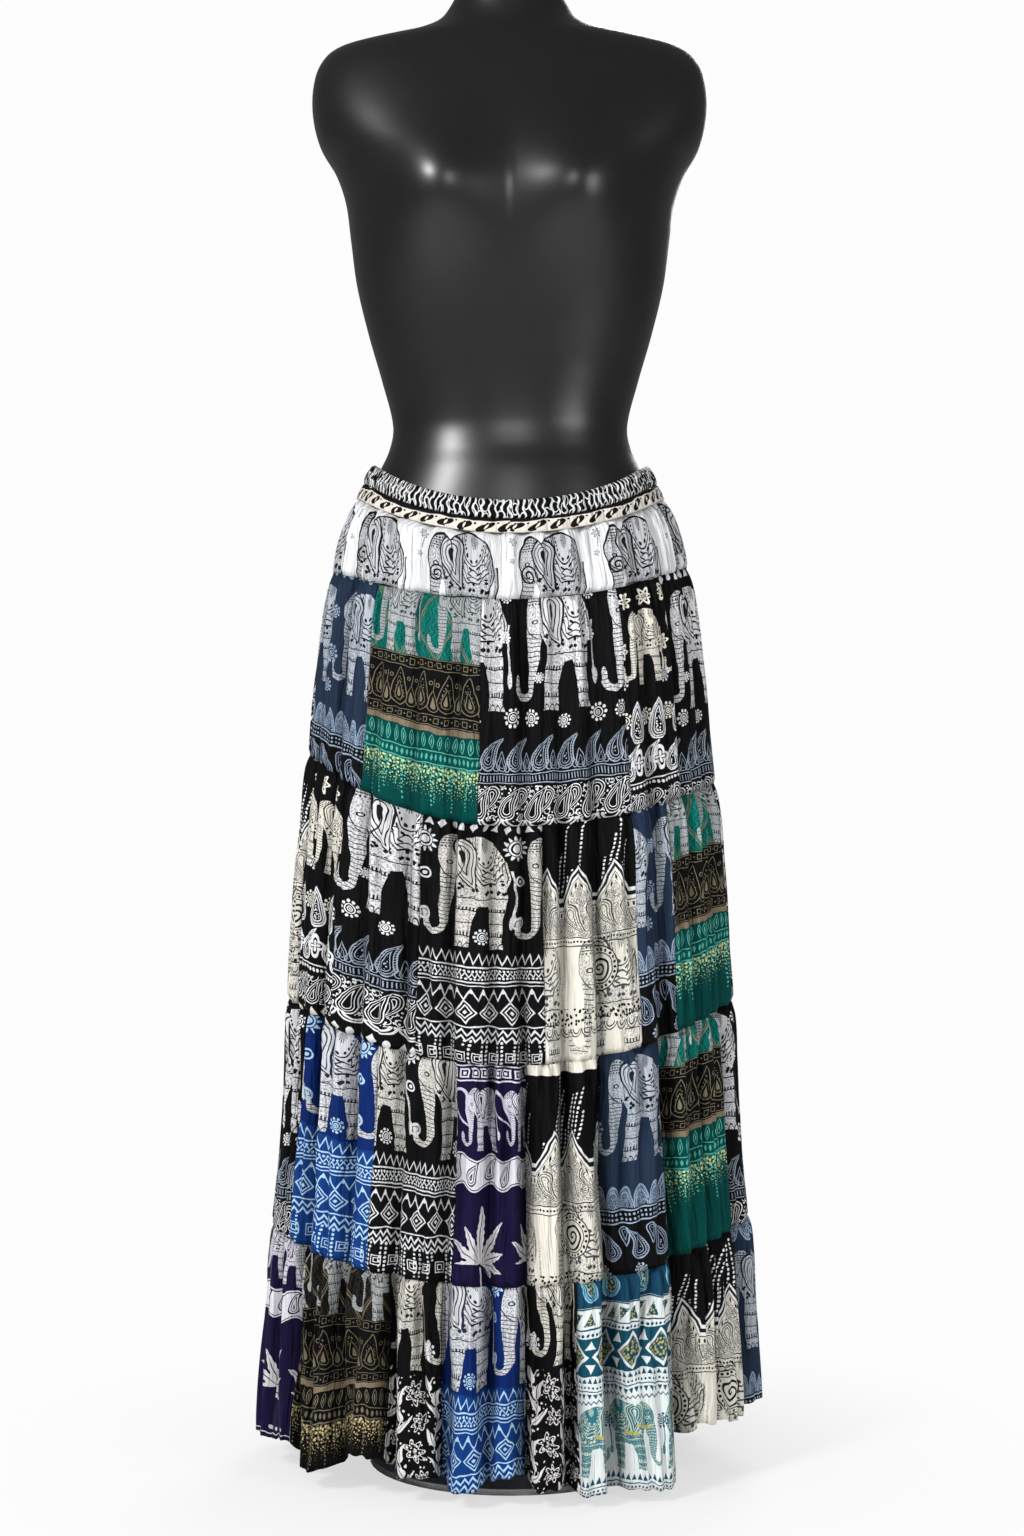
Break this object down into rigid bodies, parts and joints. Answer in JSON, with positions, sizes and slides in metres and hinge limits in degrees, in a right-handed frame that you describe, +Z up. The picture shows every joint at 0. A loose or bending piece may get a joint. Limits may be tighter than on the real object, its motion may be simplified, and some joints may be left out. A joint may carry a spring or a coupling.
{
  "type": "patchwork maxi skirt on a limbless dress form",
  "caption": "Long skirt of gathered tiers, each a row of printed cotton-like patches, with an elastic waist, on a smooth limbless dress form with a pole and a round base.",
  "frame": {"origin": "middle of the bounding box's bottom, on the floor, in the underside of the base plate", "axes": "+Z up along the form and the skirt, -Y towards the skirt's front, +X to the right as seen from the front"},
  "size_m": [0.502, 0.3876, 1.502],
  "materials": {
    "casing": "ruched woven rayon over elastic, black and white",
    "strip": "woven rayon, cream with black motifs",
    "white": "crinkled woven rayon, white with grey drawings",
    "slate": "crinkled woven rayon, slate blue print",
    "green": "crinkled woven rayon, green and gold print",
    "night": "crinkled woven rayon, black with white and slate print",
    "ivory": "crinkled woven rayon, black with cream print",
    "royal": "crinkled woven rayon, royal blue print",
    "gold": "crinkled woven rayon, black with gold print",
    "zigzag": "crinkled woven rayon, black with white zigzag bands",
    "vine": "crinkled woven rayon, black with white scrolling leaves",
    "leaf": "crinkled woven rayon, dark violet with white leaves",
    "cream": "crinkled woven rayon, cream with black print",
    "teal": "crinkled woven rayon, teal and white print",
    "form": "smooth glossy black shell",
    "steel": "satin steel"
  },
  "bodies": {
    "root": {"waist_casing": "casing", "waist_strip": "strip", "yoke_01_white": "white", "yoke_02_white": "white", "tier1_01_slate": "slate", "tier1_02_green": "green", "tier1_03_night": "night", "tier1_04_ivory": "ivory", "tier1_05_night": "night", "tier1_06_royal": "royal", "tier1_07_gold": "gold", "tier1_08_slate": "slate", "tier1_09_zigzag": "zigzag", "tier1_10_vine": "vine", "tier2_01_cream": "cream", "tier2_02_ivory": "ivory", "tier2_03_night": "night", "tier2_04_zigzag": "zigzag", "tier2_05_cream": "cream", "tier2_06_slate": "slate", "tier2_07_green": "green", "tier2_08_night": "night", "tier2_09_leaf": "leaf", "tier2_10_vine": "vine", "tier2_11_royal": "royal", "tier2_12_gold": "gold", "tier2_13_slate": "slate", "tier3_01_night": "night", "tier3_02_royal": "royal", "tier3_03_zigzag": "zigzag", "tier3_04_leaf": "leaf", "tier3_05_cream": "cream", "tier3_06_slate": "slate", "tier3_07_green": "green", "tier3_08_night": "night", "tier3_09_gold": "gold", "tier3_10_cream": "cream", "tier3_11_royal": "royal", "tier3_12_vine": "vine", "tier3_13_teal": "teal", "tier3_14_zigzag": "zigzag", "tier4_01_leaf": "leaf", "tier4_02_gold": "gold", "tier4_03_vine": "vine", "tier4_04_royal": "royal", "tier4_05_vine": "vine", "tier4_06_teal": "teal", "tier4_07_cream": "cream", "tier4_08_slate": "slate", "tier4_09_night": "night", "tier4_10_green": "green", "tier4_11_leaf": "leaf", "tier4_12_zigzag": "zigzag", "tier4_13_royal": "royal", "tier4_14_cream": "cream", "tier4_15_gold": "gold", "form_torso": "form", "form_pole": "steel", "form_base": "steel"}
  },
  "joints": []
}
